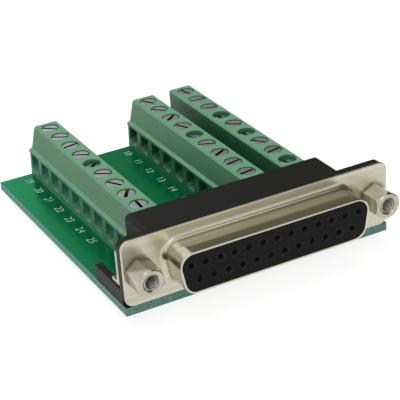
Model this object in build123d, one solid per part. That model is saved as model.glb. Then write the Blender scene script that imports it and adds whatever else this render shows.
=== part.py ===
from build123d import *

import os
from math import cos, radians, tan

# A 25-way D-sub socket on a circuit board, with every contact brought out to a screw terminal.
# Sizes are in millimetres. X runs along the connector, -Y is the mating side and +Z is up.
# The origin is under the middle of the board, at the height where the solder tails end.

# Board
board_width = 53.0
board_thickness = 1.6
board_setback = 0.15
tail_reach = 1.8
tail_hole_clearance = 0.06

# Small rounds that repeat along the rows are drawn with this many flat sides
open_round_sides = 10
inner_round_sides = 7
shank_sides = 6

# Connector shell, drawn from one sheet
flange_overhang = 0.02
flange_height = 12.5
flange_thickness = 0.5
flange_corner_radius = 1.6
flange_lift = 0.05
shell_depth = 6.0
jack_margin = 3.0
jack_to_tube = 4.33
shell_height = 7.9
shell_side_lean = 10.0
shell_corner_radius = 2.6
shell_wall = 0.4
shell_base_fillet = 0.9
flange_hole_radius = 1.6

# Connector insulator, one black moulding
insulator_gap = 0.1
insulator_recess = 0.12
plate_thickness = 1.65
plate_margin = 0.12
plate_rise = 6.1
hood_margin = 0.71
hood_rise = 4.3
hood_depth = 12.35
hood_edge_radius = 1.0
wing_height = 2.8
wing_depth = 7.6
arm_width = 1.35

# Socket contacts, two rows
contact_margin = 2.63
contact_row_gap = 2.84
top_row_count = 13
low_row_count = 12
contact_mouth_radius = 0.75
contact_mouth_depth = 2.4
contact_body = 0.84
contact_wire = 0.6
contact_clearance = 0.08
top_row_tail_depth = 10.92
low_row_tail_depth = 8.08

# Hexagonal jackscrews and the ground brackets that they thread into
hex_across_flats = 4.76
hex_length = 4.82
hex_chamfer_depth = 0.45
jack_turns = (40.0, 26.0)
jack_thread_radius = 1.42
jack_bore_depth = 4.1
jack_mouth_radius = 1.65
stud_radius = 1.42
stud_overhang = 0.8
bracket_width = 5.3
bracket_thickness = 1.3
bracket_rise = 3.3
bracket_foot_thickness = 0.85
bracket_foot_depth = 3.45
bracket_bend_radius = 0.7
bracket_hole_clearance = 0.08
tine_width = 1.6
tine_thickness = 0.8
tine_offset = 2.0
tine_lift = 0.6

# Terminal blocks: three mouldings of nine ways
ways = 9
terminal_pitch = 5.08
block_height = 10.0
block_back = 2.6
block_top_edge = 2.36
block_lean_foot = 3.40
block_ledge_top = 5.75
block_ledge_low = 5.40
block_brow_reach = 4.12
block_brow_low = 4.85
block_brow_step = 0.15
block_foot_reach = 4.2
block_edge_bevel = 0.3
block_margin = 6.9
block_back_gap = 3.55
hood_to_blocks = 1.08
entry_width = 3.5
entry_low = 0.95
entry_corner = 0.7
throat_width = 2.9
throat_low = 2.2
chamber_width = 4.1
chamber_back = 2.0
chamber_front = 2.0
chamber_height = 8.1
bore_radius = 1.85

# Slotted terminal screws
head_radius = 1.7
head_height = 1.2
slot_width = 0.6
slot_depth = 0.75
shank_radius = 1.1
shank_length = 2.65
head_recess = 0.15
sunk_extra = 0.6

# Clamp sleeves and current bars
thread_clearance = 0.15
sleeve_width = 3.9
sleeve_back = 1.45
sleeve_front = 1.85
sleeve_wall = 0.5
sleeve_low = 1.5
sleeve_floor = 0.6
sleeve_top_thickness = 0.85
bar_thickness = 0.6
bar_width = 2.4
bar_low = 4.75
bar_leg_thickness = 0.4
bar_leg_back = 1.95
bar_gap = 0.1
bar_leg_width = 1.0

# Turn of each screw's slot from the X axis, and which screws are already driven lower.
# The rows are listed from the back of the board to the connector.
right_row_slots = (-80, -8, -21, -90, -37, -86, -53, 10, -77)
middle_row_slots = (-62, -49, 39, -66, -54, -25, 29, 11, 9)
left_row_slots = (-43, -35, 10, -31, 38, -34, -60, 57, 86)
right_row_sunk = (4, 6, 9)
middle_row_sunk = (5,)
left_row_sunk = (5,)

# Widths that follow from the board's
flange_width = board_width + 2 * flange_overhang
jack_spacing = flange_width - 2 * jack_margin
shell_top_width = jack_spacing - 2 * jack_to_tube
contact_pitch = (shell_top_width - 2 * contact_margin) / (top_row_count - 1)
hood_width = shell_top_width + 2 * hood_margin

# Places that follow from the sizes
row_length = ways * terminal_pitch
board_length = hood_depth - board_setback + hood_to_blocks + row_length
overall_length = shell_depth + board_setback + board_length
flange_face = shell_depth - overall_length / 2
board_front = flange_face + board_setback
board_back = board_front + board_length
board_low = tail_reach
board_top = board_low + board_thickness
axis_height = board_top + flange_lift + flange_height / 2
plate_front = flange_face + flange_thickness
plate_back = plate_front + plate_thickness
hood_back = flange_face + hood_depth
wing_back = flange_face + wing_depth
insulator_face = flange_face - shell_depth + insulator_recess
plate_half_width = flange_width / 2 - plate_margin
wing_top = board_top + wing_height
row_middle = board_back - row_length / 2
right_row_x = board_width / 2 - block_margin - block_foot_reach
middle_row_x = right_row_x - 2 * block_back - block_back_gap
left_row_x = -right_row_x
sleeve_top = bar_low + bar_thickness + bar_gap + sleeve_top_thickness


def mating_plane(y):
    """A sketch plane across the connector axis whose normal points to the mating side."""
    return Plane(origin=(0, y, axis_height), x_dir=(1, 0, 0), z_dir=(0, -1, 0))


def rod(radius, length, sides=open_round_sides):
    """A small round bar that stands on the XY plane."""
    return extrude(RegularPolygon(radius, sides), length)


def cross_hole(x, y, radius):
    """What a small round hole along Y takes out of the sheet or wall at that place."""
    half = plate_thickness + flange_thickness
    place = Plane(origin=(x, y + half, axis_height), x_dir=(1, 0, 0), z_dir=(0, -1, 0))
    return place * rod(radius, 2 * half)


def box_between(x0, x1, y0, y1, z0, z1):
    """A box given by its two ends along each axis."""
    return Pos((x0 + x1) / 2, (y0 + y1) / 2, (z0 + z1) / 2) * Box(abs(x1 - x0), abs(y1 - y0), z1 - z0)


def contact_places():
    """The X and height above the axis of each contact, with how deep its tail goes down."""
    places = []
    rows = (
        (top_row_count, contact_row_gap / 2, top_row_tail_depth),
        (low_row_count, -contact_row_gap / 2, low_row_tail_depth),
    )
    for count, rise, depth in rows:
        for i in range(count):
            places.append(((i - (count - 1) / 2) * contact_pitch, rise, flange_face + depth))
    return places


def terminal_places():
    """Number, location and slot turn of each terminal, numbered from the right row's back end."""
    places = []
    rows = (
        (right_row_x, 0, right_row_slots, right_row_sunk),
        (middle_row_x, 180, middle_row_slots, middle_row_sunk),
        (left_row_x, 180, left_row_slots, left_row_sunk),
    )
    for x, turn, slots, sunk in rows:
        for i, slot in enumerate(slots):
            y = board_back - (i + 0.5) * terminal_pitch
            number = len(places) + 1
            drop = sunk_extra if i + 1 in sunk else 0
            places.append((number, Pos(x, y, board_top) * Rot(0, 0, turn), slot - turn, drop))
    return places


def d_outline(inset):
    """The connector's D, wider at the top, drawn in by an even inset."""
    half_top = shell_top_width / 2
    half_low = half_top - shell_height * tan(radians(shell_side_lean))
    half_height = shell_height / 2
    corners = (
        (-half_low, -half_height),
        (half_low, -half_height),
        (half_top, half_height),
        (-half_top, half_height),
    )
    outline = Polygon(*corners, align=None)
    outline = fillet(outline.vertices(), shell_corner_radius)
    return offset(outline, amount=-inset) if inset else outline


def circuit_board():
    """The board, with a hole for every solder tail and bracket tine."""
    outline = Rectangle(board_width, board_length)
    board = Pos(0, board_front + board_length / 2, board_low) * extrude(outline, board_thickness)
    side = contact_wire + 2 * tail_hole_clearance
    contact_hole = Box(side, side, 3 * board_thickness)
    bar_hole = Box(
        bar_leg_thickness + 2 * tail_hole_clearance,
        bar_leg_width + 2 * tail_hole_clearance,
        3 * board_thickness,
    )
    tine_hole = Box(
        tine_width + 2 * tail_hole_clearance, tine_thickness + 2 * tail_hole_clearance, 3 * board_thickness
    )
    holes = [Pos(x, y, board_top) * contact_hole for x, _, y in contact_places()]
    leg_x = bar_leg_thickness / 2 - bar_leg_back
    holes += [place * Pos(leg_x, 0, 0) * bar_hole for _, place, _, _ in terminal_places()]
    holes += [Pos(side * jack_spacing / 2, plate_back + tine_offset, board_top) * tine_hole for side in (-1, 1)]
    return board - holes


def is_tube_base(point):
    """True for a point on the flange face that lies where the D-shaped tube leaves it."""
    on_face = abs(point.Y - flange_face) < 0.01
    near_axis = abs(point.Z - axis_height) < (shell_height + flange_height) / 4
    return on_face and near_axis and abs(point.X) < (shell_top_width + jack_spacing) / 4


def connector_shell():
    """The flange and the D-shaped tube that it is drawn into."""
    flange = RectangleRounded(flange_width, flange_height, flange_corner_radius)
    shell = extrude(mating_plane(flange_face + flange_thickness) * flange, flange_thickness)
    shell += extrude(mating_plane(flange_face) * d_outline(0), shell_depth)
    base = shell.edges().filter_by(lambda e: is_tube_base(e.center()))
    shell = fillet(base, shell_base_fillet)
    shell -= extrude(mating_plane(plate_front) * d_outline(shell_wall), shell_depth + flange_thickness)
    return shell - [cross_hole(side * jack_spacing / 2, flange_face, flange_hole_radius) for side in (-1, 1)]


def connector_insulator():
    """The moulding that fills the D, backs the flange, hoods the tails and stands on the board."""
    nose = extrude(
        mating_plane(plate_front) * d_outline(shell_wall + insulator_gap), plate_front - insulator_face
    )
    low = board_top - axis_height
    plate_outline = Pos(0, (plate_rise + low) / 2) * RectangleRounded(
        2 * plate_half_width, plate_rise - low, flange_corner_radius
    )
    body = nose + extrude(mating_plane(plate_back) * plate_outline, plate_thickness)
    hood_outline = Pos(0, (hood_rise + low) / 2) * Rectangle(hood_width, hood_rise - low)
    hood_outline = fillet(hood_outline.vertices().group_by(Axis.Y)[-1], hood_edge_radius)
    body += extrude(mating_plane(hood_back) * hood_outline, hood_depth - plate_thickness)
    for side in (-1, 1):
        outer, inner = side * plate_half_width, side * hood_width / 2
        body += box_between(outer, inner, plate_front + plate_thickness / 2, wing_back, board_top, wing_top)
        body += box_between(
            outer, outer - side * arm_width, plate_front + plate_thickness / 2, hood_back, board_top, wing_top
        )
    return body - insulator_cuts()


def insulator_cuts():
    """Contact mouths, the ducts and tail slots behind them, and holes for studs and tines."""
    cuts = []
    duct_half = contact_body / 2 + contact_clearance
    mouth_floor = insulator_face + contact_mouth_depth
    mouth = rod(contact_mouth_radius, contact_mouth_depth + 1, inner_round_sides)
    for x, rise, tail_y in contact_places():
        z = axis_height + rise
        x0, x1, top = x - duct_half, x + duct_half, z + duct_half
        slot_back = hood_back + 1 if rise > 0 else tail_y + duct_half
        cuts.append(Plane(origin=(x, mouth_floor, z), z_dir=(0, -1, 0)) * mouth)
        cuts.append(box_between(x0, x1, mouth_floor, tail_y, z - duct_half, top))
        cuts.append(box_between(x0, x1, tail_y - duct_half, slot_back, board_top - 1, top))
    y = plate_back + tine_offset
    half_x = tine_width / 2 + tail_hole_clearance
    half_y = tine_thickness / 2 + tail_hole_clearance
    for side in (-1, 1):
        x = side * jack_spacing / 2
        cuts.append(cross_hole(x, plate_front, flange_hole_radius))
        cuts.append(box_between(x - half_x, x + half_x, y - half_y, y + half_y, board_top - 1, wing_top + 1))
    return cuts


def socket_contacts():
    """Contacts with a box-section socket and a square tail that turns down through the board."""
    contacts = []
    for x, rise, tail_y in contact_places():
        z = axis_height + rise
        body_half, wire_half = contact_body / 2, contact_wire / 2
        socket = box_between(
            x - body_half,
            x + body_half,
            insulator_face + contact_mouth_depth,
            tail_y - wire_half,
            z - body_half,
            z + body_half,
        )
        tail = box_between(x - wire_half, x + wire_half, tail_y - wire_half, tail_y + wire_half, 0, z + wire_half)
        contacts.append(socket + tail)
    return contacts


def jackscrews():
    """Hexagonal standoffs, threaded inside, on a stud that clamps the flange to its bracket."""
    screws = []
    hex_outline = RegularPolygon(hex_across_flats / 2, 6, major_radius=False)
    corner_radius = hex_across_flats / 2 / cos(radians(30))
    for side, turn in zip((-1, 1), jack_turns):
        place = Plane(
            origin=(side * jack_spacing / 2, flange_face, axis_height), x_dir=(1, 0, 0), z_dir=(0, -1, 0)
        )
        body = extrude(Rot(0, 0, turn) * hex_outline, hex_length)
        turned = extrude(Circle(corner_radius), hex_length)
        nose = turned.edges().group_by(Axis.Z)[-1]
        slope = corner_radius - hex_across_flats / 2 + 0.12
        body &= chamfer(nose, hex_chamfer_depth, slope)
        stud_length = flange_thickness + plate_thickness + bracket_thickness + stud_overhang
        body += Pos(0, 0, -stud_length) * rod(stud_radius, stud_length)
        bore = Pos(0, 0, hex_length - jack_bore_depth) * extrude(Circle(jack_thread_radius), jack_bore_depth)
        sink = jack_mouth_radius - jack_thread_radius
        mouth = Pos(0, 0, hex_length - sink / 2) * Cone(jack_thread_radius, jack_mouth_radius, sink)
        screws.append(place * (body - [bore, mouth]))
    return screws


def ground_brackets():
    """Bent brackets behind the plate, each with a tapped hole and a tine through the board."""
    brackets = []
    top = axis_height + bracket_rise
    foot_top = wing_top + bracket_foot_thickness
    foot_back = plate_back + bracket_foot_depth
    leaf_back = plate_back + bracket_thickness
    profile = Polygon(
        (plate_back, wing_top),
        (foot_back, wing_top),
        (foot_back, foot_top),
        (leaf_back, foot_top),
        (leaf_back, top),
        (plate_back, top),
        align=None,
    )
    inner = profile.vertices().filter_by(
        lambda v: abs(v.X - leaf_back) < 0.01 and abs(v.Y - foot_top) < 0.01
    )
    profile = fillet(inner, bracket_bend_radius)
    for side in (-1, 1):
        x = side * jack_spacing / 2
        plane = Plane(origin=(x - bracket_width / 2, 0, 0), x_dir=(0, 1, 0), z_dir=(1, 0, 0))
        bracket = extrude(plane * profile, bracket_width)
        y = plate_back + tine_offset
        bracket += box_between(
            x - tine_width / 2,
            x + tine_width / 2,
            y - tine_thickness / 2,
            y + tine_thickness / 2,
            tine_lift,
            foot_top,
        )
        brackets.append(bracket - cross_hole(x, plate_back, stud_radius + bracket_hole_clearance))
    return brackets


def block_profile():
    """Section of a terminal block: upright back, leaning front, a brow and an upright wire face."""
    profile = Polygon(
        (-block_back, 0),
        (-block_back, block_height),
        (block_top_edge, block_height),
        (block_lean_foot, block_ledge_top),
        (block_brow_reach, block_ledge_low),
        (block_brow_reach, block_brow_low),
        (block_brow_reach - block_brow_step, block_brow_low),
        (block_foot_reach, 0),
        align=None,
    )
    return chamfer(profile.vertices().group_by(Axis.Y)[-1], block_edge_bevel)


def wire_funnel():
    """A wire entry: square under the brow, its floor and sides closing in on the clamp chamber."""
    mouth_x = block_foot_reach + 0.1
    side_view = Polygon(
        (mouth_x, block_brow_low),
        (mouth_x, entry_low),
        (chamber_front, throat_low),
        (chamber_front, block_brow_low),
        align=None,
    )
    plan_view = Polygon(
        (mouth_x, -entry_width / 2),
        (mouth_x, entry_width / 2),
        (chamber_front, throat_width / 2),
        (chamber_front, -throat_width / 2),
        align=None,
    )
    funnel = extrude(Plane.XZ * side_view, entry_width, both=True)
    funnel &= extrude(plan_view, block_height)
    floor = funnel.faces().sort_by(Axis.Z)[0]
    return chamfer(floor.edges().filter_by(Axis.Y, reverse=True), entry_corner)


def terminal_cuts():
    """What each way takes out of the block: screw bore, clamp chamber and funnelled entry."""
    bore = Pos(0, 0, chamber_height) * rod(bore_radius, block_height)
    chamber = box_between(
        -chamber_back, chamber_front, -chamber_width / 2, chamber_width / 2, -1, chamber_height
    )
    return [bore, chamber, wire_funnel()]


def terminal_housings():
    """The three nine-way mouldings."""
    cuts = terminal_cuts()
    row = extrude(Plane.XZ * block_profile(), row_length / 2, both=True)
    for i in range(ways):
        y = (i - (ways - 1) / 2) * terminal_pitch
        row -= [Pos(0, y, 0) * cut for cut in cuts]
    rows = ((right_row_x, 0), (middle_row_x, 180), (left_row_x, 180))
    return [Pos(x, row_middle, board_top) * Rot(0, 0, turn) * row for x, turn in rows]


def terminal_screw():
    """A slotted cheese-head screw, with its head's top at the origin."""
    screw = Pos(0, 0, -head_height) * rod(head_radius, head_height)
    screw += Pos(0, 0, -head_height - shank_length) * rod(shank_radius, shank_length, shank_sides)
    return screw - Pos(0, 0, -slot_depth / 2) * Box(3 * head_radius, slot_width, slot_depth)


def clamp_sleeve():
    """The sleeve that the screw draws up under the current bar, open towards the wire."""
    half = sleeve_width / 2
    sleeve = box_between(-sleeve_back, sleeve_front, -half, half, sleeve_low, sleeve_top)
    window_low = sleeve_low + sleeve_floor
    window_top = sleeve_top - sleeve_top_thickness
    inner = half - sleeve_wall
    sleeve -= box_between(-2 * sleeve_back, 2 * sleeve_front, -inner, inner, window_low, window_top)
    hole_radius = shank_radius + thread_clearance
    return sleeve - Pos(0, 0, window_top) * rod(hole_radius, 2 * sleeve_top_thickness, inner_round_sides)


def current_bar():
    """The fixed bar above the wire, with a leg down the chamber's back into the board."""
    front = sleeve_front - bar_gap
    leg_front = bar_leg_thickness - bar_leg_back
    half, leg_half = bar_width / 2, bar_leg_width / 2
    bar = box_between(-bar_leg_back, front, -half, half, bar_low, bar_low + bar_thickness)
    return bar + box_between(-bar_leg_back, leg_front, -leg_half, leg_half, -board_top, bar_low)


def write_node(name, solids):
    """Writes one node, whose copies stay separate solids."""
    shape = solids[0] if len(solids) == 1 else Compound(children=solids)
    export_step(shape, f"parts/{name}.step")


def main():
    os.makedirs("parts", exist_ok=True)
    write_node("circuit_board", [circuit_board()])
    write_node("terminal_housings", terminal_housings())
    write_node("connector_shell", [connector_shell()])
    write_node("connector_insulator", [connector_insulator()])
    write_node("jackscrews_and_ground_brackets", jackscrews() + ground_brackets())
    screw, sleeve, bar = terminal_screw(), clamp_sleeve(), current_bar()
    places = terminal_places()
    bars = [place * bar for _, place, _, _ in places]
    write_node("socket_contacts_and_current_bars", socket_contacts() + bars)
    for number, place, slot_turn, drop in places:
        head_top = block_height - head_recess - drop
        write_node(f"terminal_screw_{number:02d}", [place * Pos(0, 0, head_top) * Rot(0, 0, slot_turn) * screw])
        write_node(f"clamp_sleeve_{number:02d}", [place * sleeve])


main()
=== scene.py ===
"""The breakout board as a picture: finishes, fine pieces, print, light and camera.

It is laid out as an add-on. The sizes and colours that a user would change are properties on the
scene, each group of pieces has its operator, and a panel in the sidebar lists them. Lengths are
in metres, and the pieces are worked out in the part's frame: +Z up, -Y the mating side.
"""

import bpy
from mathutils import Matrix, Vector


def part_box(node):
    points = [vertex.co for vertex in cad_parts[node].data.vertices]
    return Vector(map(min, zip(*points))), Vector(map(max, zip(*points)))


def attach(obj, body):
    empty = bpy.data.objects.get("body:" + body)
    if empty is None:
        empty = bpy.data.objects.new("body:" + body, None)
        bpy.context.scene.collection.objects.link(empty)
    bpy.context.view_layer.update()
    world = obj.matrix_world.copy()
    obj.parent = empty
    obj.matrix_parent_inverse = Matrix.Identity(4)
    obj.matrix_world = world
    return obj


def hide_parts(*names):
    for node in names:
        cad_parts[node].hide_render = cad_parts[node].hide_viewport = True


bl_info = {
    "name": "Breakout Board Scene",
    "version": (1, 0, 0),
    "blender": (4, 5, 0),
    "location": "View3D > Sidebar > Board",
    "description": "Dresses a packed D-sub breakout board and sets up its picture",
    "category": "Object",
}

from math import cos, pi, radians, sin

import bmesh
import bpy
import numpy as np
from mathutils import Matrix, Vector

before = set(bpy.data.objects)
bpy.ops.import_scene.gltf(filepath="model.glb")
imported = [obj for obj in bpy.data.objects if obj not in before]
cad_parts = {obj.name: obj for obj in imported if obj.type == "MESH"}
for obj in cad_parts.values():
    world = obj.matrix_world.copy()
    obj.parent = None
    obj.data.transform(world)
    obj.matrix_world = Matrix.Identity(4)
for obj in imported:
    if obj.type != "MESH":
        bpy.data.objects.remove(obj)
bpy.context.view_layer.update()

MM = 0.001
TOLERANCE = 0.001 * MM
WAYS = 27
ROW_WAYS = 9
CONTACT_ROWS = ((13, 1.42 * MM), (12, -1.42 * MM))
CONTACT_PITCH = 2.76 * MM
JACK_SPACING = 47.04 * MM
TUBE_LENGTH = 6.0 * MM
FULL_TURN = 2 * pi
THREAD_STEPS = 8
# Where the painted teal glow in the housing's hollows fades in, leftwards along X.
PAINTED_GLOW_FADE = (-16.0 * MM, -17.5 * MM)


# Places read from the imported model

def node_box(name):
    """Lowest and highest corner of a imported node, as arrays in metres."""
    return tuple(np.array(corner, float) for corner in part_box(name))


def mesh_points(mesh):
    """All the vertices of a mesh as an (n, 3) array in metres."""
    points = np.empty(3 * len(mesh.vertices))
    mesh.vertices.foreach_get("co", points)
    return points.reshape(-1, 3)


def screw_names():
    """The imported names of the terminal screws, which are also their bodies' names."""
    return [f"terminal_screw_{number:02d}" for number in range(1, WAYS + 1)]


def node_axis(name):
    """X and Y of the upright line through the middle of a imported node's box."""
    low, high = node_box(name)
    return (low[0] + high[0]) / 2, (low[1] + high[1]) / 2


board_low, board_high = node_box("circuit_board")
shell_low, shell_high = node_box("connector_shell")
housing_top = node_box("terminal_housings")[1][2]
insulator_face = node_box("connector_insulator")[0][1]
jackscrew_face = node_box("jackscrews_and_ground_brackets")[0][1]
flange_face = shell_low[1] + TUBE_LENGTH
axis_height = (shell_low[2] + shell_high[2]) / 2


def jackscrew_places(y):
    """A point at a given Y on each jackscrew's axis."""
    return [(side * JACK_SPACING / 2, y, axis_height) for side in (-1, 1)]


def contact_places():
    """X and height above the connector's axis of every contact."""
    return [
        ((i - (count - 1) / 2) * CONTACT_PITCH, rise)
        for count, rise in CONTACT_ROWS
        for i in range(count)
    ]


def hole_places(half_x, half_y):
    """Middles of the board's holes whose half widths are given, read from its top face.

    A hole's corners are its middle plus and minus both half widths, so a corner that has the
    three others is the start of one hole.
    """
    points = mesh_points(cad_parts["circuit_board"].data)
    on_top = points[np.abs(points[:, 2] - board_high[2]) < TOLERANCE]
    corners = {tuple(corner) for corner in np.round(on_top[:, :2] / MM, 3)}
    wide, deep = 2 * half_x / MM, 2 * half_y / MM
    places = []
    for x, y in sorted(corners):
        right, back = round(x + wide, 3), round(y + deep, 3)
        if {(right, y), (x, back), (right, back)} <= corners:
            places.append(((x + wide / 2) * MM, (y + deep / 2) * MM))
    return places


# Surfaces

def turned(profile, sides):
    """A profile of (radius, height) rows turned about Z, as a (rows, sides, 3) grid.

    Point (i, j) is (r_i cos t_j, r_i sin t_j, z_i), with t_j = 2 pi j / sides.
    """
    radius, height = np.asarray(profile, float).T
    turn = FULL_TURN * np.arange(sides) / sides
    return np.stack(
        [
            radius[:, None] * np.cos(turn),
            radius[:, None] * np.sin(turn),
            np.repeat(height[:, None], sides, axis=1),
        ],
        axis=-1,
    )


def copies(grid, places):
    """The grid once at each place: copy k's point p becomes p + place_k."""
    return grid[None] + np.asarray(places, float)[:, None, None, :]


def facing_mating_side(grid):
    """The grid with its +Z turned to -Y: (x, y, z) becomes (x, -z, y)."""
    return np.stack([grid[..., 0], -grid[..., 2], grid[..., 1]], axis=-1)


def threaded(radius, depth, length, pitch, sides):
    """A round wall with a thread cut in it, from height 0 down.

    Point (i, j) is at height z_i = -i length / n and turn t_j, at the radius
    r - d (1 - |2 frac(z_i / p + t_j / 2 pi) - 1|), with d the depth and p the pitch.
    """
    rows = int(THREAD_STEPS * length / pitch)
    height = -length * np.arange(rows + 1)[:, None] / rows
    turn = FULL_TURN * np.arange(sides)[None, :] / sides
    ridge = 1 - np.abs(2 * np.mod(height / pitch + turn / FULL_TURN, 1.0) - 1)
    across = radius - depth * ridge
    return np.stack([across * np.cos(turn), across * np.sin(turn), height + 0 * turn], axis=-1)


def turned_about_z(grid, angle):
    """The grid turned about Z: (x, y) becomes (x cos a - y sin a, x sin a + y cos a)."""
    c, s = np.cos(angle), np.sin(angle)
    x, y = grid[..., 0], grid[..., 1]
    return np.stack([x * c - y * s, x * s + y * c, grid[..., 2]], axis=-1)


def rounded_outline(corners, radius, arc_points, side_points):
    """Points and outward normals round a convex polygon, anticlockwise, with rounded corners.

    Corner k's arc runs from the normal of the side before it to the normal of the side after it,
    about c_k - r (n_k + m_k) / (1 + n_k . m_k), and each side runs on to the next arc.
    """
    corners = np.asarray(corners, float)
    before = corners - np.roll(corners, 1, axis=0)
    before /= np.linalg.norm(before, axis=1, keepdims=True)
    after = np.roll(before, -1, axis=0)
    first = np.column_stack([before[:, 1], -before[:, 0]])
    second = np.column_stack([after[:, 1], -after[:, 0]])
    spread = 1 + (first * second).sum(axis=1, keepdims=True)
    centre = corners - radius * (first + second) / spread
    start = np.arctan2(first[:, 1], first[:, 0])
    sweep = np.mod(np.arctan2(second[:, 1], second[:, 0]) - start, FULL_TURN)
    angle = start[:, None] + sweep[:, None] * np.linspace(0, 1, arc_points)
    arc_normals = np.stack([np.cos(angle), np.sin(angle)], axis=-1)
    arcs = centre[:, None, :] + radius * arc_normals
    along = np.linspace(0, 1, side_points + 2)[None, 1:-1, None]
    sides = arcs[:, -1:, :] * (1 - along) + np.roll(arcs[:, :1, :], -1, axis=0) * along
    side_normals = np.broadcast_to(second[:, None, :], sides.shape)
    points = np.concatenate([arcs, sides], axis=1).reshape(-1, 2)
    normals = np.concatenate([arc_normals, side_normals], axis=1).reshape(-1, 2)
    return points, normals


def quarter(middle, radii, start, steps):
    """A quarter of an ellipse: middle + radii (cos a, sin a), with a from start degrees on."""
    angle = radians(start) + np.linspace(0, pi / 2, steps)
    circle = np.stack([np.cos(angle), np.sin(angle)], axis=-1)
    return np.asarray(middle) + np.asarray(radii) * circle


def swept(outline, profile):
    """A profile of (offset, y) rows carried round an outline in the XZ plane.

    Point (i, j) is outline point j moved out by offset i along its normal, at y_i.
    """
    points, normals = outline
    flat = points[None] + profile[:, 0][:, None, None] * normals[None]
    depth = np.broadcast_to(profile[:, 1][:, None], flat.shape[:2])
    return np.stack([flat[..., 0], depth, flat[..., 1]], axis=-1)


def grid_quads(shape, start):
    """Quads of a (copies, rows, columns) stack of grids that each close along their columns.

    Quad (i, j) joins points (i, j), (i, j + 1), (i + 1, j + 1) and (i + 1, j).
    """
    index = start + np.arange(np.prod(shape)).reshape(shape)
    low, high = index[:, :-1], index[:, 1:]
    quads = np.stack([low, np.roll(low, -1, axis=2), np.roll(high, -1, axis=2), high], axis=-1)
    return quads.reshape(-1, 4)


def evaluated_mesh(piece):
    """The mesh that a piece becomes once its modifiers or its text are worked out."""
    evaluated = piece.evaluated_get(bpy.context.evaluated_depsgraph_get())
    return bpy.data.meshes.new_from_object(evaluated)


def surface_mesh(name, grids, crease):
    """One mesh of (copies, rows, columns, 3) grids.

    Rows that meet themselves, and rows that shrink to a pole, are welded, and faces that meet
    at more than the crease angle stay sharp.
    """
    start, points, quads = 0, [], []
    for grid in grids:
        grid = grid if grid.ndim == 4 else grid[None]
        points.append(grid.reshape(-1, 3))
        quads.append(grid_quads(grid.shape[:3], start))
        start += len(points[-1])
    mesh = bpy.data.meshes.new(name)
    mesh.from_pydata(np.concatenate(points).tolist(), [], np.concatenate(quads).tolist())
    welded = bmesh.new()
    welded.from_mesh(mesh)
    bmesh.ops.remove_doubles(welded, verts=welded.verts, dist=0.0005 * MM)
    bmesh.ops.dissolve_degenerate(welded, edges=welded.edges, dist=0.0002 * MM)
    bmesh.ops.recalc_face_normals(welded, faces=welded.faces)
    welded.to_mesh(mesh)
    welded.free()
    mesh.shade_smooth()
    mesh.set_sharp_from_angle(angle=crease)
    return mesh


def new_object(name, data):
    """An object in the scene with a mesh, a text, a lamp or a camera as its data."""
    added = bpy.data.objects.new(name, data)
    bpy.context.scene.collection.objects.link(added)
    return added


def add_piece(name, mesh, finish, body):
    """A piece of the object in a named material, which moves with a body."""
    mesh.materials.append(bpy.data.materials[finish])
    piece = new_object(name, mesh)
    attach(piece, body)
    return piece


# Finishes, some with painted shade and a painted glow

def new_finish(name):
    """A material with its node tree and the Principled shader in it."""
    material = bpy.data.materials.new(name)
    material.use_nodes = True
    tree = material.node_tree
    return material, tree, tree.nodes["Principled BSDF"]


def set_sockets(shader, **values):
    """Sets shader sockets by name, with underscores for spaces."""
    for socket, value in values.items():
        shader.inputs[socket.replace("_", " ")].default_value = value


def object_coordinates(tree):
    """The socket of the Object coordinates."""
    return tree.nodes.new("ShaderNodeTexCoord").outputs["Object"]


def object_axis(tree, axis):
    """The X, Y or Z of the Object coordinates."""
    parts = tree.nodes.new("ShaderNodeSeparateXYZ")
    tree.links.new(object_coordinates(tree), parts.inputs["Vector"])
    return parts.outputs[axis]


def object_noise(tree, scale, detail=3.0, stretch=(1.0, 1.0, 1.0)):
    """A noise factor on Object coordinates, stretched along the axes."""
    mapping = tree.nodes.new("ShaderNodeMapping")
    mapping.inputs["Scale"].default_value = stretch
    noise = tree.nodes.new("ShaderNodeTexNoise")
    noise.inputs["Scale"].default_value = scale
    noise.inputs["Detail"].default_value = detail
    tree.links.new(object_coordinates(tree), mapping.inputs["Vector"])
    tree.links.new(mapping.outputs["Vector"], noise.inputs["Vector"])
    return noise.outputs["Fac"]


def stored_factor(tree, name):
    """A factor stored on the mesh's points."""
    stored = tree.nodes.new("ShaderNodeAttribute")
    stored.attribute_name = name
    return stored.outputs["Fac"]


def vector_step(tree, operation, vector, second=(0.0, 0.0, 0.0)):
    """A vector after one operation, with a second vector where it takes one."""
    step = tree.nodes.new("ShaderNodeVectorMath")
    step.operation = operation
    step.inputs[1].default_value = tuple(second)
    tree.links.new(vector, step.inputs[0])
    return step.outputs["Value" if operation == "LENGTH" else "Vector"]


def math_step(tree, operation, factor, second):
    """A factor after one operation with a number."""
    step = tree.nodes.new("ShaderNodeMath")
    step.operation = operation
    step.inputs[1].default_value = second
    tree.links.new(factor, step.inputs[0])
    return step.outputs["Value"]


def ramp(tree, factor, low, high, start=0.0, end=1.0):
    """A factor that goes from low to high while another goes from start to end."""
    span = tree.nodes.new("ShaderNodeMapRange")
    ends = {"From Min": start, "From Max": end, "To Min": low, "To Max": high}
    for socket, value in ends.items():
        span.inputs[socket].default_value = value
    tree.links.new(factor, span.inputs["Value"])
    return span.outputs["Result"]


def mix_colors(tree, factor, first, second):
    """A colour between two along a factor, each given as three numbers or as a socket."""
    mix = tree.nodes.new("ShaderNodeMix")
    mix.data_type = "RGBA"
    for name, color in (("A", first), ("B", second)):
        if isinstance(color, bpy.types.NodeSocket):
            tree.links.new(color, mix.inputs[name])
        else:
            mix.inputs[name].default_value = (*color, 1.0)
    tree.links.new(factor, mix.inputs["Factor"])
    return mix.outputs["Result"]


def vary_color(tree, shader, factor, first, second):
    """Base colour between two, along a factor."""
    tree.links.new(mix_colors(tree, factor, first, second), shader.inputs["Base Color"])


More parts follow.
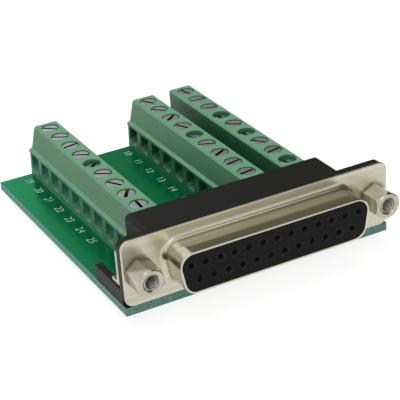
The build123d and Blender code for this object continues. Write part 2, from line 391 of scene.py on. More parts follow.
def vary_roughness(tree, shader, factor, low, high):
    """Roughness between two values, along a factor."""
    tree.links.new(ramp(tree, factor, low, high), shader.inputs["Roughness"])


def add_bump(tree, shader, factor, height):
    """Fine relief of a given height in metres, along a factor."""
    bump = tree.nodes.new("ShaderNodeBump")
    bump.inputs["Distance"].default_value = height
    bump.inputs["Strength"].default_value = 1.0
    tree.links.new(factor, bump.inputs["Height"])
    tree.links.new(bump.outputs["Normal"], shader.inputs["Normal"])


def shade_corners(tree, shader, reach, span, dark):
    """Painted shade: the base colour falls off to a dark one in corners and cavities within a
    reach.

    The colour is the dark one where the openness is at the span's first value, and its own at
    the second.
    """
    # The openness is ambient occlusion, so the dark colour is painted shade.
    openness = tree.nodes.new("ShaderNodeAmbientOcclusion")
    openness.samples = 12
    openness.inputs["Distance"].default_value = reach
    rise = ramp(tree, openness.outputs["AO"], 0.0, 1.0, *span)
    own = shader.inputs["Base Color"].links[0].from_socket
    vary_color(tree, shader, rise, dark, own)


def tone(color, gain):
    """A colour made lighter or darker."""
    return tuple(min(1.0, gain * channel) for channel in color)


def moulded_plastic(name, color, dark, roughness, gloss, glow=None):
    """Injection-moulded plastic with a fine spark-eroded grain.

    Its hollows and corners get painted shade, and left of the left terminal row's middle its
    hollows get a painted teal glow.
    """
    material, tree, shader = new_finish(name)
    set_sockets(shader, Specular_IOR_Level=gloss)
    cloud, frost = object_noise(tree, scale=180.0), object_noise(tree, scale=900.0)
    vary_color(tree, shader, cloud, tone(color, 0.92), tone(color, 1.08))
    vary_roughness(tree, shader, frost, roughness - 0.05, roughness + 0.08)
    add_bump(tree, shader, object_noise(tree, scale=6000.0, detail=2.0), height=0.004 * MM)
    # Painted light: the hollows' colour is painted shade, mixed leftwards into a painted teal
    # glow.
    hollow = dark
    if glow:
        leftward = ramp(tree, object_axis(tree, "X"), 0.0, 1.0, *PAINTED_GLOW_FADE)
        hollow = mix_colors(tree, leftward, dark, glow)
    # Painted shade: the long reach darkens faces boxed in by neighbouring parts, and the short
    # reach darkens the hollows.
    shade_corners(tree, shader, reach=25.0 * MM, span=(0.35, 0.7), dark=dark)
    shade_corners(tree, shader, reach=5.0 * MM, span=(0.15, 0.6), dark=hollow)
    return material


def plated_metal(name, color, roughness, spread, stretch=(1.0, 1.0, 1.0), reach=1.6 * MM):
    """Plated metal with drawing marks along the stretch, cloudy gloss and painted shade in its
    corners.
    """
    material, tree, shader = new_finish(name)
    set_sockets(shader, Metallic=1.0)
    marks = object_noise(tree, scale=500.0, detail=4.0, stretch=stretch)
    cloud = object_noise(tree, scale=260.0)
    vary_color(tree, shader, marks, tone(color, 1 - spread), tone(color, 1 + spread))
    vary_roughness(tree, shader, cloud, roughness - 0.05, roughness + 0.1)
    add_bump(tree, shader, marks, height=0.002 * MM)
    # Painted shade: the colour falls to an eighth of itself in corners and cavities.
    shade_corners(tree, shader, reach, span=(0.25, 0.8), dark=tone(color, 0.12))
    return material


def plated_sheet(name, color, polished, satin):
    """Plated sheet with marks along X, polished on the tube and satin on the flange."""
    material = plated_metal(name, color, polished, spread=0.3, stretch=(0.12, 2.5, 2.5))
    tree = material.node_tree
    front, back = flange_face - 0.5 * MM, flange_face - 0.05 * MM
    behind = ramp(tree, object_axis(tree, "Y"), polished, satin, front, back)
    tree.links.new(behind, tree.nodes["Principled BSDF"].inputs["Roughness"])
    return material


def tapped_steel(name, color):
    """Steel that is bright on a thread's crests, with painted shade in its roots."""
    _, tree, shader = new_finish(name)
    set_sockets(shader, Metallic=1.0, Roughness=0.4)
    vary_color(tree, shader, stored_factor(tree, "crest"), tone(color, 0.03), color)


def solder(name):
    """Bright tin solder with a faintly frosted flow."""
    _, tree, shader = new_finish(name)
    set_sockets(shader, Base_Color=(0.72, 0.72, 0.7, 1.0), Metallic=1.0)
    vary_roughness(tree, shader, object_noise(tree, scale=700.0), 0.16, 0.34)


def solder_mask(name, color, edge_color):
    """Green lacquer over copper on both faces, with bare glass fibre round the board's edge.

    A point is on the edge where |x - middle| or |y - middle| is past the half width, less
    0.01 mm. The copper makes the faces half metallic, so they glint green.
    """
    material, tree, shader = new_finish(name)
    set_sockets(shader, Coat_Weight=0.1, Coat_Roughness=0.1, Specular_IOR_Level=0.2)
    set_sockets(shader, Specular_Tint=(0.5, 1.0, 0.75, 1.0))
    middle, half = (board_low + board_high) / 2, (board_high - board_low) / 2
    centred = vector_step(tree, "SUBTRACT", object_coordinates(tree), middle)
    folded = vector_step(tree, "ABSOLUTE", centred)
    beyond = vector_step(tree, "SUBTRACT", folded, (*(half[:2] - 0.01 * MM), 1.0))
    outside = vector_step(tree, "LENGTH", vector_step(tree, "MAXIMUM", beyond))
    at_edge = math_step(tree, "GREATER_THAN", outside, 0.0)
    cloud = object_noise(tree, scale=90.0)
    speckle = object_noise(tree, scale=1400.0, detail=5.0, stretch=(1.0, 1.0, 2.0))
    lacquer = mix_colors(tree, cloud, tone(color, 0.9), tone(color, 1.12))
    fibres = mix_colors(tree, speckle, tone(edge_color, 0.3), tone(edge_color, 2.3))
    vary_color(tree, shader, at_edge, lacquer, fibres)
    vary_roughness(tree, shader, at_edge, 0.22, 0.75)
    tree.links.new(ramp(tree, at_edge, 0.7, 0.0), shader.inputs["Metallic"])
    return material


class BoardFinishes(bpy.types.PropertyGroup):
    """Colours of the board's materials."""

    mask: bpy.props.FloatVectorProperty(
        name="Solder mask", description="Green lacquer on the board", subtype="COLOR",
        default=(0.004, 0.25, 0.09),
    )
    board_edge: bpy.props.FloatVectorProperty(
        name="Board edge", description="Bare glass fibre round the board", subtype="COLOR",
        default=(0.22, 0.44, 0.39),
    )
    housing: bpy.props.FloatVectorProperty(
        name="Terminal housings", description="Muted green moulding", subtype="COLOR",
        default=(0.15, 0.35, 0.2),
    )
    # Painted shade: the housing's colour in its hollows and corners.
    hollow: bpy.props.FloatVectorProperty(
        name="Housing hollows", description="Green moulding where little light reaches",
        subtype="COLOR", default=(0.035, 0.17, 0.09),
    )
    # Painted light: a teal base colour in the left row's hollows stands in for light through thin
    # walls.
    glow: bpy.props.FloatVectorProperty(
        name="Housing glow", description="Teal of the light that comes through thin walls",
        subtype="COLOR", default=(0.1, 0.65, 0.55),
    )
    insulator: bpy.props.FloatVectorProperty(
        name="Connector insulator", description="Black moulding", subtype="COLOR",
        default=(0.012, 0.0125, 0.012),
    )
    sheet: bpy.props.FloatVectorProperty(
        name="Connector shell", description="Warm satin plating", subtype="COLOR",
        default=(0.56, 0.53, 0.42),
    )
    hardware: bpy.props.FloatVectorProperty(
        name="Jackscrews and brackets", description="Bright warm plating", subtype="COLOR",
        default=(0.44, 0.42, 0.35),
    )
    screw: bpy.props.FloatVectorProperty(
        name="Terminal screws", description="Cool zinc plating", subtype="COLOR",
        default=(0.66, 0.67, 0.74),
    )
    contact: bpy.props.FloatVectorProperty(
        name="Contacts", description="Tinned copper alloy", subtype="COLOR",
        default=(0.7, 0.62, 0.42),
    )
    print_ink: bpy.props.FloatVectorProperty(
        name="Print", description="Numbers beside the terminals", subtype="COLOR",
        default=(0.5, 0.72, 0.6),
    )


class BoardSizes(bpy.types.PropertyGroup):
    """Sizes of the fine pieces."""

    digit_height: bpy.props.FloatProperty(
        name="Digit height", description="Cap height of the printed numbers", unit="LENGTH",
        default=1.5 * MM,
    )
    stroke_thinning: bpy.props.FloatProperty(
        name="Stroke thinning", default=0.012,
        description="Taken off each side of a digit's strokes, in cap heights",
    )
    print_rise: bpy.props.FloatProperty(
        name="Print rise", description="Ink above the board's face", unit="LENGTH",
        default=0.012 * MM,
    )
    head_bevel: bpy.props.FloatProperty(
        name="Head bevel", description="Rounded edge of a screw's head", unit="LENGTH",
        default=0.12 * MM,
    )
    jack_thread_depth: bpy.props.FloatProperty(
        name="Jackscrew thread", description="Depth of the thread in the jackscrews",
        unit="LENGTH", default=0.26 * MM,
    )
    thread_pitch: bpy.props.FloatProperty(
        name="Thread pitch", description="Pitch of the terminal screws", unit="LENGTH",
        default=0.45 * MM,
    )


class BOARD_OT_finish_parts(bpy.types.Operator):
    """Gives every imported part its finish"""

    bl_idname = "board.finish_parts"
    bl_label = "Finish Parts"

    def execute(self, context):
        colors = context.scene.board_finishes
        mask = solder_mask("solder_mask_green", colors.mask, colors.board_edge)
        # Painted shade and painted glow: the housing's hollows take the hollow colour, and the
        # teal glow on the left.
        housing = moulded_plastic(
            "sage_green_moulding", colors.housing, colors.hollow,
            roughness=0.42, gloss=0.2, glow=colors.glow,
        )
        # Painted shade: the black falls to a quarter of its colour in hollows and corners.
        insulator = moulded_plastic(
            "black_moulding", colors.insulator, tone(colors.insulator, 0.25),
            roughness=0.42, gloss=0.1,
        )
        sheet = plated_sheet("satin_plated_sheet", colors.sheet, polished=0.13, satin=0.3)
        hardware = plated_metal(
            "bright_plated_hardware", colors.hardware,
            roughness=0.12, spread=0.3, stretch=(1.5, 0.25, 1.5),
        )
        contact = plated_metal("tinned_contact_metal", colors.contact, roughness=0.3, spread=0.06)
        # Painted shade: the screws darken down in their wells, within a 6 mm reach.
        screw = plated_metal(
            "zinc_plated_screw", colors.screw, roughness=0.36, spread=0.06, reach=6.0 * MM
        )
        clamp = plated_metal(
            "nickel_plated_clamp", tone(colors.screw, 0.5), roughness=0.35, spread=0.06
        )
        tapped_steel("tapped_steel", tone(colors.hardware, 1.7))
        # Painted shade: a near-black steel for the walls and floors of the screws' slots.
        plated_metal("painted_slot_shade", tone(colors.screw, 0.06), roughness=0.4, spread=0.06)
        by_node = {
            "circuit_board": mask,
            "terminal_housings": housing,
            "connector_insulator": insulator,
            "connector_shell": sheet,
            "jackscrews_and_ground_brackets": hardware,
            "socket_contacts_and_current_bars": contact,
        }
        for name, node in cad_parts.items():
            kind = screw if name.startswith("terminal_screw") else clamp
            node.data.materials.clear()
            node.data.materials.append(by_node.get(name, kind))
        return {"FINISHED"}


class BOARD_OT_drawn_shell(bpy.types.Operator):
    """Draws the connector's shell with the rounded edges and bends of real sheet"""

    bl_idname = "board.drawn_shell"
    bl_label = "Drawn Shell"

    height = 7.9 * MM
    top_width = 38.38 * MM
    side_lean = radians(10)
    corner = 2.6 * MM
    wall = 0.4 * MM
    bend = 0.9 * MM
    shoulder = 0.1 * MM
    rim_edge = 0.15 * MM
    lip_depth = 1.0 * MM
    flange_corner = 1.6 * MM
    flange_edge = 0.16 * MM
    hole_radius = 1.6 * MM
    rod_ends = (1.5 * MM, -1.0 * MM)
    corner_points = 20
    side_points = 12
    bend_points = 12
    rim_points = 7
    edge_points = 6
    rod_sides = 48
    crease = radians(50)

    def outlines(self):
        """The D and the flange round it, with as many points each."""
        half_top, half_height = self.top_width / 2, self.height / 2
        half_low = half_top - self.height * np.tan(self.side_lean)
        low, high = -half_height, half_height
        d_corners = [(-half_low, low), (half_low, low), (half_top, high), (-half_top, high)]
        x, z = shell_high[0], (shell_high[2] - shell_low[2]) / 2
        flange_corners = [(-x, -z), (x, -z), (x, z), (-x, z)]
        steps = (self.corner_points, self.side_points)
        return (
            rounded_outline(d_corners, self.corner, *steps),
            rounded_outline(flange_corners, self.flange_corner, *steps),
        )

    def sheet(self, front, back):
        """The closed skin: mouth, rim, tube, flange and back to the mouth inside.

        Short straight rows beside each rounding keep the flat parts' shading flat.
        """
        rim, bend, wall, edge = self.rim_edge, self.bend, self.wall, self.flange_edge
        face, steps = flange_face, self.bend_points
        lip = (-wall, front + self.lip_depth)
        tube = [
            [lip, (-wall, front + 2 * rim)],
            quarter((rim - wall, front + rim), (rim, rim), 180, self.rim_points),
            quarter((-rim, front + rim), (rim, rim), 270, self.rim_points),
            [(0, front + 1.6 * rim), (0, face - bend - self.shoulder)],
            quarter((bend, face - bend), (-bend, bend), 0, steps),
            [(bend + self.shoulder, face)],
        ]
        flange = [
            [(-3 * edge, face), (-1.5 * edge, face)],
            quarter((-edge, face + edge), (edge, edge), 270, self.edge_points),
            [(0, back - edge), (-edge, back), (-3 * edge, back)],
        ]
        inside = [
            [(bend + self.shoulder, back)],
            quarter((bend, face - bend), (-bend - wall, bend + back - face), 0, steps)[::-1],
            [lip],
        ]
        d_outline, flange_outline = self.outlines()
        grid = np.concatenate([
            swept(d_outline, np.concatenate(tube)),
            swept(flange_outline, np.concatenate(flange)),
            swept(d_outline, np.concatenate(inside)),
        ])
        grid[..., 2] += axis_height
        return surface_mesh("uncut_shell", [grid], self.crease)

    def stud_rods(self, back):
        """A rod through the flange for each jackscrew's stud: (r cos t, y, r sin t)."""
        radius, (near, far) = self.hole_radius, self.rod_ends
        profile = [(0, near), (radius, near), (radius, far), (0, far)]
        rods = copies(facing_mating_side(turned(profile, self.rod_sides)), jackscrew_places(back))
        return surface_mesh("stud_rods", [rods], self.crease)

    def execute(self, context):
        front, back = shell_low[1], shell_high[1]
        uncut = new_object("uncut_shell", self.sheet(front, back))
        rods = new_object("stud_rods", self.stud_rods(back))
        cut = uncut.modifiers.new("stud_holes", "BOOLEAN")
        cut.operation = "DIFFERENCE"
        cut.solver = "EXACT"
        cut.object = rods
        mesh = evaluated_mesh(uncut)
        mesh.name = "drawn_shell"
        mesh.set_sharp_from_angle(angle=self.crease)
        for piece in (uncut, rods):
            bpy.data.objects.remove(piece)
        piece = add_piece("drawn_shell", mesh, "satin_plated_sheet", "board")
        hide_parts("connector_shell")
        return {"FINISHED"}


class BOARD_OT_terminal_screws(bpy.types.Operator):
    """Puts a bevelled, slotted and threaded screw in each terminal"""

    bl_idname = "board.terminal_screws"
    bl_label = "Terminal Screws"

    head_radius = 1.62 * MM
    shank_radius = 1.1 * MM
    head_height = 1.2 * MM
    slot_depth = 0.75 * MM
    slot_width = 0.6 * MM
    slot_bevel = 0.4
    lug_root = 0.1 * MM
    chamfer = 0.02 * MM
    thread_depth = 0.2 * MM
    thread_rows = 48
    tip = 0.25 * MM
    sides = 40
    crease = radians(32)

    def lug(self, top, bevel):
        """Half of the head beside the slot, as rings of a circle cut by a chord.

        A ring of radius r and chord s runs along r (cos t, sin t) from t = asin(s / r) to
        pi - asin(s / r), and closes along the chord. Each has its inset in bevels, its size about
        the lug's middle and its height.
        """
        half_slot = self.slot_width / 2
        floor = top - self.slot_depth - self.lug_root
        middle = np.array([0.0, (self.head_radius + half_slot) / 2])
        rings = [(0, 0, floor), (0, 1, floor), (0, 1, top - bevel), (0.3, 1, top - 0.3 * bevel)]
        rings += [(1, 1, top), (1.3, 1, top), (1.3, 0, top)]
        rows = []
        for inset, size, height in rings:
            radius = self.head_radius - inset * bevel
            chord = half_slot + self.slot_bevel * inset * bevel
            start = np.arcsin(chord / radius)
            turn = np.linspace(start, pi - start, self.sides)
            flat = np.stack([radius * np.cos(turn), radius * np.sin(turn)], axis=-1)
            flat = middle + size * (flat - middle)
            rows.append(np.column_stack([flat, np.full(self.sides, height)]))
        return np.array(rows)

    def trunk(self, top, low, bevel, pitch):
        """The turned rest of the screw: slot floor, head, neck, thread and chamfered tip.

        The thread's radius is r - d |2 frac(z / pitch) - 1|, with d its depth.
        """
        floor = top - self.slot_depth
        seat = top - self.head_height
        thread_top, thread_low = seat - self.tip, low + self.tip
        height = np.linspace(thread_top, thread_low, self.thread_rows)
        wave = np.abs(2 * np.mod(height / pitch, 1.0) - 1)
        core = self.shank_radius - self.thread_depth
        head = self.head_radius
        profile = [(0, floor), (head - self.chamfer, floor), (head, floor - self.chamfer)]
        profile += [(head, seat + bevel / 2), (head - bevel / 2, seat)]
        profile += [(core, seat), (core, thread_top)]
        profile += list(zip(self.shank_radius - self.thread_depth * wave, height))
        profile += [(core, thread_low), (core - self.tip, low), (0, low)]
        return turned(profile, self.sides)

    def darken_slot(self, mesh, centre, angle, top):
        """Gives the slot's walls and floor painted shade: a near-black steel."""
        middles = np.empty(3 * len(mesh.polygons))
        mesh.polygons.foreach_get("center", middles)
        middles = turned_about_z(middles.reshape(-1, 3) - centre, -angle)
        below = top - middles[:, 2]
        deep = (below > 0.1 * self.slot_depth) & (below < self.slot_depth + TOLERANCE)
        in_slot = np.abs(middles[:, 1]) < self.slot_width / 2 + 10 * TOLERANCE
        on_floor = np.abs(below - self.slot_depth) < TOLERANCE
        dark = ((deep & in_slot) | on_floor).astype(np.int32)
        mesh.polygons.foreach_set("material_index", dark)

    def execute(self, context):
        sizes = context.scene.board_sizes
        for name in screw_names():
            low, high = node_box(name)
            centre = np.array([*node_axis(name), 0.0])
            points = mesh_points(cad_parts[name].data)
            on_floor = points[np.abs(points[:, 2] - high[2] + self.slot_depth) < TOLERANCE]
            flat = on_floor[:, :2] - on_floor[:, :2].mean(axis=0)
            along = np.linalg.svd(flat, full_matrices=False)[2][0]
            angle = np.arctan2(along[1], along[0])
            half = self.lug(high[2], sizes.head_bevel)
            grids = [half, turned_about_z(half, pi)]
            grids.append(self.trunk(high[2], low[2], sizes.head_bevel, sizes.thread_pitch))
            grids = [turned_about_z(grid, angle) + centre for grid in grids]
            mesh = surface_mesh(f"{name}_turned", grids, self.crease)
            piece = add_piece(f"{name}_turned", mesh, "zinc_plated_screw", name)
            # The second material is the painted shade in the slot.
            mesh.materials.append(bpy.data.materials["painted_slot_shade"])
            self.darken_slot(mesh, centre, angle, high[2])
            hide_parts(name)
        return {"FINISHED"}


def lining(outer, inner, depth, bevel, rise):
    """A tube's wall as a closed turned profile with a bevelled mouth, a little above height 0."""
    profile = [(outer, rise), (inner + bevel, rise), (inner + 0.3 * bevel, rise - 0.3 * bevel)]
    profile += [(inner, rise - bevel), (inner, -depth), (outer, -depth), (outer, rise)]
    return turned(profile, 40)


class BOARD_OT_hole_linings(bpy.types.Operator):
    """Rounds the screw wells and the contact mouths"""

    bl_idname = "board.hole_linings"
    bl_label = "Hole Linings"

    well_radii = (1.87 * MM, 1.75 * MM)
    well_depth = 1.9 * MM
    well_bevel = 0.06 * MM
    well_rise = 0.003 * MM
    mouth_radii = (0.77 * MM, 0.62 * MM)
    mouth_depth = 2.2 * MM
    mouth_bevel = 0.12 * MM
    mouth_rise = 0.004 * MM
    crease = radians(40)

    def execute(self, context):
        well = lining(*self.well_radii, self.well_depth, self.well_bevel, self.well_rise)
        wells = copies(well, [(*node_axis(name), housing_top) for name in screw_names()])
        mesh = surface_mesh("screw_well_linings", [wells], self.crease)
        add_piece("screw_well_linings", mesh, "sage_green_moulding", "board")
        mouth = lining(*self.mouth_radii, self.mouth_depth, self.mouth_bevel, self.mouth_rise)
        places = [(x, insulator_face, axis_height + rise) for x, rise in contact_places()]
        mouths = copies(facing_mating_side(mouth), places)
        mesh = surface_mesh("contact_mouth_linings", [mouths], self.crease)
        add_piece("contact_mouth_linings", mesh, "black_moulding", "board")
        return {"FINISHED"}


class BOARD_OT_jackscrew_threads(bpy.types.Operator):
    """Lines each jackscrew's bore with its thread"""

    bl_idname = "board.jackscrew_threads"
    bl_label = "Jackscrew Threads"

    major_radius = 1.415 * MM
    clearance = 0.02 * MM
    pitch = 0.635 * MM
    mouth_depth = 0.24 * MM
    length = 3.8 * MM
    sides = 48
    crease = radians(25)

    def execute(self, context):
        depth = context.scene.board_sizes.jack_thread_depth
        outer = self.major_radius - self.clearance
        wall = threaded(outer, depth, self.length, self.pitch, self.sides)
        end = turned([(self.major_radius, -self.length), (self.major_radius, 0.0)], self.sides)
        tube = facing_mating_side(np.concatenate([end[1:], wall, end], axis=0))
        tubes = copies(tube, jackscrew_places(jackscrew_face + self.mouth_depth))
        mesh = surface_mesh("jackscrew_threads", [tubes], self.crease)
        # Painted shade: the crest factor darkens the thread towards its roots.
        x, _, z = mesh_points(mesh).T
        radius = np.hypot(np.abs(x) - JACK_SPACING / 2, z - axis_height)
        crest = np.clip((outer - radius) / depth, 0, 1)
        mesh.attributes.new("crest", "FLOAT", "POINT").data.foreach_set("value", crest)
        add_piece("jackscrew_threads", mesh, "tapped_steel", "board")
        return {"FINISHED"}


class BOARD_OT_solder_joints(bpy.types.Operator):
    """Solders every tail to its pad under the board"""

    bl_idname = "board.solder_joints"
    bl_label = "Solder Joints"

    tail_hole = (0.36 * MM, 0.36 * MM)
    leg_hole = (0.26 * MM, 0.56 * MM)
    tail_pad = 0.85 * MM
    leg_pad = 1.25 * MM
    pad_hole = 0.2 * MM
    pad_thickness = 0.03 * MM
    tail_cone = (0.78 * MM, 0.34 * MM, 1.15 * MM)
    leg_cone = (1.15 * MM, 0.5 * MM, 1.2 * MM)
    fall = 2.4
    sides = 28
    pad_crease = radians(30)
    cone_crease = radians(50)

    def pad(self, radius):
        """A flat ring of plated copper under the board."""
        hole, low = self.pad_hole, -self.pad_thickness
        profile = [(hole, 0.0), (hole, low), (radius, low), (radius, 0.0), (hole, 0.0)]
        return turned(profile, self.sides)

    def cone(self, foot, tip, height):
        """A hollow-sided fillet: down its height its radius falls from foot to tip as (1 - u)^2.4.

        It starts in its pad, a tenth of the pad's thickness above the pad's face.
        """
        u = np.linspace(0.0, 1.0, 9)
        radius = tip + (foot - tip) * (1 - u) ** self.fall
        profile = [(0.0, 0.0), *zip(radius, -height * u), (0.0, -height)]
        return turned(profile, self.sides) + np.array([0.0, 0.0, -0.9 * self.pad_thickness])

    def execute(self, context):
        low = board_low[2]
        tails = [(x, y, low) for x, y in hole_places(*self.tail_hole)]
        legs = [(x, y, low) for x, y in hole_places(*self.leg_hole)]
        cones = (self.cone(*self.tail_cone), self.cone(*self.leg_cone))
        joints = [copies(cone, places) for cone, places in zip(cones, (tails, legs))]
        mesh = surface_mesh("solder_joints", joints, radians(50))
        solder("bright_solder")
        add_piece("solder_joints", mesh, "bright_solder", "board")
        rings = (self.pad(self.tail_pad), self.pad(self.leg_pad))
        pads = [copies(ring, places) for ring, places in zip(rings, (tails, legs))]
        mesh = surface_mesh("solder_pads", pads, radians(30))
        add_piece("solder_pads", mesh, "tinned_contact_metal", "board")
        return {"FINISHED"}


class BOARD_OT_printed_numbers(bpy.types.Operator):
    """Prints each terminal's number on the board"""

    bl_idname = "board.printed_numbers"
    bl_label = "Printed Numbers"

    last_number = 25
    entry_reach = 5.95 * MM
    toward_front = 0.5 * MM

    def glyphs(self, number, thinning):
        """A number as flat faces: its points in units of cap height, and its polygons."""
        curve = bpy.data.curves.new("number", "FONT")
        curve.body = str(number)
        curve.align_x = "CENTER"
        curve.resolution_u = 4
        curve.offset = -thinning
        text = new_object("number", curve)
        mesh = evaluated_mesh(text)
        bpy.data.objects.remove(text)
        flat = mesh_points(mesh)[:, :2]
        return flat / flat[:, 1].max(), [list(polygon.vertices) for polygon in mesh.polygons]

    def place(self, number):
        """Where a number stands: in front of its terminal's wire entry."""
        x, y = node_axis(screw_names()[number - 1])
        reach = self.entry_reach if number <= ROW_WAYS else -self.entry_reach
        return x + reach, y - self.toward_front

    def execute(self, context):
        sizes = context.scene.board_sizes
        height = board_high[2] + sizes.print_rise
        points, polygons, start = [], [], 0
        for number in range(1, self.last_number + 1):
            flat, faces = self.glyphs(number, sizes.stroke_thinning)
            x, y = self.place(number)
            across, up = sizes.digit_height * flat.T
            middle = sizes.digit_height / 2
            level = np.full(len(flat), height)
            points.append(np.column_stack([x + up - middle, y - across, level]))
            polygons += [[start + corner for corner in face] for face in faces]
            start += len(flat)
        mesh = bpy.data.meshes.new("printed_numbers")
        mesh.from_pydata(np.concatenate(points).tolist(), [], polygons)
        shader = new_finish("pale_print")[-1]
        color = (*context.scene.board_finishes.print_ink, 1.0)
        set_sockets(shader, Base_Color=color, Roughness=0.55)
        add_piece("printed_numbers", mesh, "pale_print", "board")
        return {"FINISHED"}


class BoardStage(bpy.types.PropertyGroup):
    """Camera, light and floor."""

    azimuth: bpy.props.FloatProperty(
        name="Azimuth", description="Camera's direction round the object from +X", subtype="ANGLE",
        default=radians(-116.31),
    )
    elevation: bpy.props.FloatProperty(
        name="Elevation", description="Camera's height above the horizon", subtype="ANGLE",
        default=radians(26.9),
    )
    roll: bpy.props.FloatProperty(
        name="Roll", description="Camera's turn about its own line of sight", subtype="ANGLE",
        default=radians(-4.41),
    )
    distance: bpy.props.FloatProperty(
        name="Distance", description="From the camera to the point it looks at", unit="LENGTH",
        default=242.52 * MM,
    )
    aim_right: bpy.props.FloatProperty(
        name="Aim right", description="How far to the right of the flange it looks", unit="LENGTH",
        default=-10.5 * MM,
    )
    aim_up: bpy.props.FloatProperty(
        name="Aim up", description="How far above the connector's axis it looks", unit="LENGTH",
        default=5.63 * MM,
    )
    lens: bpy.props.FloatProperty(
        name="Lens", description="Focal length in millimetres on a 36 mm sensor", default=125.77,
    )
    key_power: bpy.props.FloatProperty(
        name="Overhead light", description="Power of the large soft lamp in watts", default=1.9,
    )
    fill_power: bpy.props.FloatProperty(
        name="Front light", default=0.3,
        description="Power of the soft lamp beside the camera in watts",
    )
    sky: bpy.props.FloatProperty(
        name="Sky", description="Strength of the surrounding light", default=0.42,
    )
    floor_glow: bpy.props.FloatProperty(
        name="Floor glow", default=0.86,
        description="Added to the floor where it is seen or reflected",
    )


def seen_directly(tree):
    """A factor that is 1 for rays from the camera and for sharp reflections, and 0 for light."""
    nodes, links = tree.nodes, tree.links
    path = nodes.new("ShaderNodeLightPath")
    factor = path.outputs["Is Camera Ray"]
    for kind in ("Is Glossy Ray", "Is Transmission Ray"):
        either = nodes.new("ShaderNodeMath")
        either.operation = "MAXIMUM"
        links.new(factor, either.inputs[0])
        links.new(path.outputs[kind], either.inputs[1])
        factor = either.outputs["Value"]
    return factor


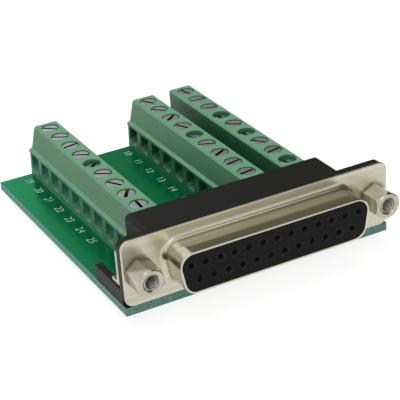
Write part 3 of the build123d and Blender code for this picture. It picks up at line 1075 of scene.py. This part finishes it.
class BOARD_OT_stage(bpy.types.Operator):
    """Sets up the pale floor, the soft lamps, the sky and the camera"""

    bl_idname = "board.stage"
    bl_label = "Stage"

    lit_point = (0.0, 0.0, 0.008)
    key_place = (-0.03, 0.08, 0.55)
    key_size = 0.42
    fill_place = (-0.1, -0.55, 0.4)
    fill_size = 0.25
    floor_size = 3.0
    floor_drop = 0.02 * MM
    wall_radius = 0.7
    wall_height = 1.4
    wall_rows = 17
    wall_columns = 73
    wall_start = radians(-55)
    wall_end = radians(76)
    wall_color = (0.16, 0.155, 0.11)
    side_fade = radians(12)
    top_fade = 0.3

    def lamp(self, name, place, size, power, glints):
        """A square area lamp at a place, facing the object, which metal may show or not."""
        data = bpy.data.lights.new(name, "AREA")
        data.shape = "SQUARE"
        data.size = size
        data.energy = power
        lamp = new_object(name, data)
        lamp.location = place
        beam = Vector(self.lit_point) - Vector(place)
        lamp.rotation_euler = beam.to_track_quat("-Z", "Y").to_euler()
        lamp.visible_glossy = glints
        return lamp

    def camera(self, stage):
        """Camera axes: Z from the target to the camera, X and Y across it, turned by the roll."""
        azimuth, elevation, roll = stage.azimuth, stage.elevation, stage.roll
        flat = cos(elevation)
        back = Vector((flat * cos(azimuth), flat * sin(azimuth), sin(elevation)))
        level = Vector((-sin(azimuth), cos(azimuth), 0.0))
        upright = back.cross(level)
        right = cos(roll) * level + sin(roll) * upright
        up = cos(roll) * upright - sin(roll) * level
        target = Vector((0.0, float(flange_face), float(axis_height)))
        target += stage.aim_right * right + stage.aim_up * up
        matrix = Matrix((right, up, back)).transposed().to_4x4()
        matrix.translation = target + stage.distance * back
        data = bpy.data.cameras.new("camera")
        data.lens = stage.lens
        data.sensor_width = 36.0
        data.clip_start = 0.01
        camera = new_object("camera", data)
        camera.matrix_world = matrix
        bpy.context.scene.camera = camera
        return camera

    def floor(self, glow):
        """A wide pale plane just under the solder tails' ends, white where it is seen."""
        below = (0.0, 0.0, -self.floor_drop)
        bpy.ops.mesh.primitive_plane_add(size=self.floor_size, location=below)
        floor = bpy.context.object
        floor.name = "floor"
        material, tree, shader = new_finish("white_floor")
        set_sockets(shader, Base_Color=(0.3, 0.3, 0.3, 1.0), Roughness=0.9)
        set_sockets(shader, Specular_IOR_Level=0.0, Emission_Color=(1.0, 1.0, 1.0, 1.0))
        strength = math_step(tree, "MULTIPLY", seen_directly(tree), glow)
        tree.links.new(strength, shader.inputs["Emission Strength"])
        floor.data.materials.append(material)
        return floor

    def sky(self, strength):
        """A dim world that is brighter overhead, and white where it is seen or reflected."""
        world = bpy.data.worlds.new("studio")
        world.use_nodes = True
        tree = world.node_tree
        nodes, links = tree.nodes, tree.links
        dim = nodes["Background"]
        dim.inputs["Strength"].default_value = strength
        coordinates = nodes.new("ShaderNodeTexCoord")
        parts = nodes.new("ShaderNodeSeparateXYZ")
        rise = nodes.new("ShaderNodeValToRGB")
        low, high = rise.color_ramp.elements
        low.position, low.color = 0.0, (0.6, 0.6, 0.6, 1.0)
        high.position, high.color = 0.8, (1.0, 1.0, 1.0, 1.0)
        links.new(coordinates.outputs["Generated"], parts.inputs["Vector"])
        links.new(parts.outputs["Z"], rise.inputs["Fac"])
        links.new(rise.outputs["Color"], dim.inputs["Color"])
        white = nodes.new("ShaderNodeBackground")
        white.inputs["Color"].default_value = (1.0, 1.0, 1.0, 1.0)
        white.inputs["Strength"].default_value = 1.0
        mix = nodes.new("ShaderNodeMixShader")
        links.new(seen_directly(tree), mix.inputs["Fac"])
        links.new(dim.outputs["Background"], mix.inputs[1])
        links.new(white.outputs["Background"], mix.inputs[2])
        links.new(mix.outputs["Shader"], nodes["World Output"].inputs["Surface"])
        bpy.context.scene.world = world

    def dark_wall(self, name):
        """A curved screen round the stage that only shows in reflections, dark but for its ends.

        Point (i, j) is (r cos a_j, r sin a_j, z_i), with the angles a_j between start and end. Its
        shade rises to white along the last part of its turn and of its height.
        """
        angle = np.linspace(self.wall_start, self.wall_end, self.wall_columns)[None, :]
        level = np.linspace(0.0, self.wall_height, self.wall_rows)[:, None]
        turn = np.clip((angle - self.wall_end) / self.side_fade + 1, 0, 1)
        rise = np.clip((level / self.wall_height - 1) / self.top_fade + 1, 0, 1)
        shade = np.maximum(turn, rise) ** 2
        x, y = self.wall_radius * np.cos(angle), self.wall_radius * np.sin(angle)
        points = np.stack(np.broadcast_arrays(x, y, level), axis=-1)
        index = np.arange(shade.size).reshape(shade.shape)
        corners = [index[:-1, :-1], index[:-1, 1:], index[1:, 1:], index[1:, :-1]]
        quads = np.stack(corners, axis=-1)
        mesh = bpy.data.meshes.new(name)
        mesh.from_pydata(points.reshape(-1, 3).tolist(), [], quads.reshape(-1, 4).tolist())
        mesh.attributes.new("shade", "FLOAT", "POINT").data.foreach_set("value", shade.ravel())
        material, tree, shader = new_finish(name)
        set_sockets(shader, Base_Color=(0.0, 0.0, 0.0, 1.0), Roughness=1.0)
        set_sockets(shader, Specular_IOR_Level=0.0, Emission_Strength=1.0)
        glow = mix_colors(tree, stored_factor(tree, "shade"), self.wall_color, (1.0, 1.0, 1.0))
        tree.links.new(glow, shader.inputs["Emission Color"])
        mesh.materials.append(material)
        wall = new_object(name, mesh)
        wall.visible_camera = wall.visible_diffuse = False
        wall.visible_shadow = wall.visible_transmission = False
        return wall

    def execute(self, context):
        stage = context.scene.board_stage
        key = self.lamp("key_lamp", self.key_place, self.key_size, stage.key_power, False)
        fill = self.lamp("fill_lamp", self.fill_place, self.fill_size, stage.fill_power, True)
        self.sky(stage.sky)
        wall = self.dark_wall("dark_wall")
        self.floor(stage.floor_glow)
        self.camera(stage)
        context.scene.view_settings.view_transform = "Standard"
        return {"FINISHED"}


class BOARD_PT_pieces(bpy.types.Panel):
    """Sizes, colours and operators in the sidebar"""

    bl_idname = "BOARD_PT_pieces"
    bl_label = "Breakout Board"
    bl_space_type = "VIEW_3D"
    bl_region_type = "UI"
    bl_category = "Board"

    def draw(self, context):
        for name in GROUPS:
            group = getattr(context.scene, name)
            column = self.layout.column()
            for key in group.__annotations__:
                column.prop(group, key)
        for operator in OPERATORS:
            self.layout.operator(operator.bl_idname)


OPERATORS = (
    BOARD_OT_finish_parts,
    BOARD_OT_drawn_shell,
    BOARD_OT_terminal_screws,
    BOARD_OT_hole_linings,
    BOARD_OT_jackscrew_threads,
    BOARD_OT_solder_joints,
    BOARD_OT_printed_numbers,
    BOARD_OT_stage,
)
GROUPS = {"board_finishes": BoardFinishes, "board_sizes": BoardSizes, "board_stage": BoardStage}


def register():
    for group in GROUPS.values():
        bpy.utils.register_class(group)
    for operator in OPERATORS:
        bpy.utils.register_class(operator)
    bpy.utils.register_class(BOARD_PT_pieces)
    for key, group in GROUPS.items():
        setattr(bpy.types.Scene, key, bpy.props.PointerProperty(type=group))


def unregister():
    for key in GROUPS:
        delattr(bpy.types.Scene, key)
    bpy.utils.unregister_class(BOARD_PT_pieces)
    for operator in reversed(OPERATORS):
        bpy.utils.unregister_class(operator)
    for group in reversed(GROUPS.values()):
        bpy.utils.unregister_class(group)


def main():
    register()
    bpy.ops.board.finish_parts()
    bpy.ops.board.drawn_shell()
    bpy.ops.board.terminal_screws()
    bpy.ops.board.hole_linings()
    bpy.ops.board.jackscrew_threads()
    bpy.ops.board.solder_joints()
    bpy.ops.board.printed_numbers()
    bpy.ops.board.stage()


if __name__ == "__main__":
    main()
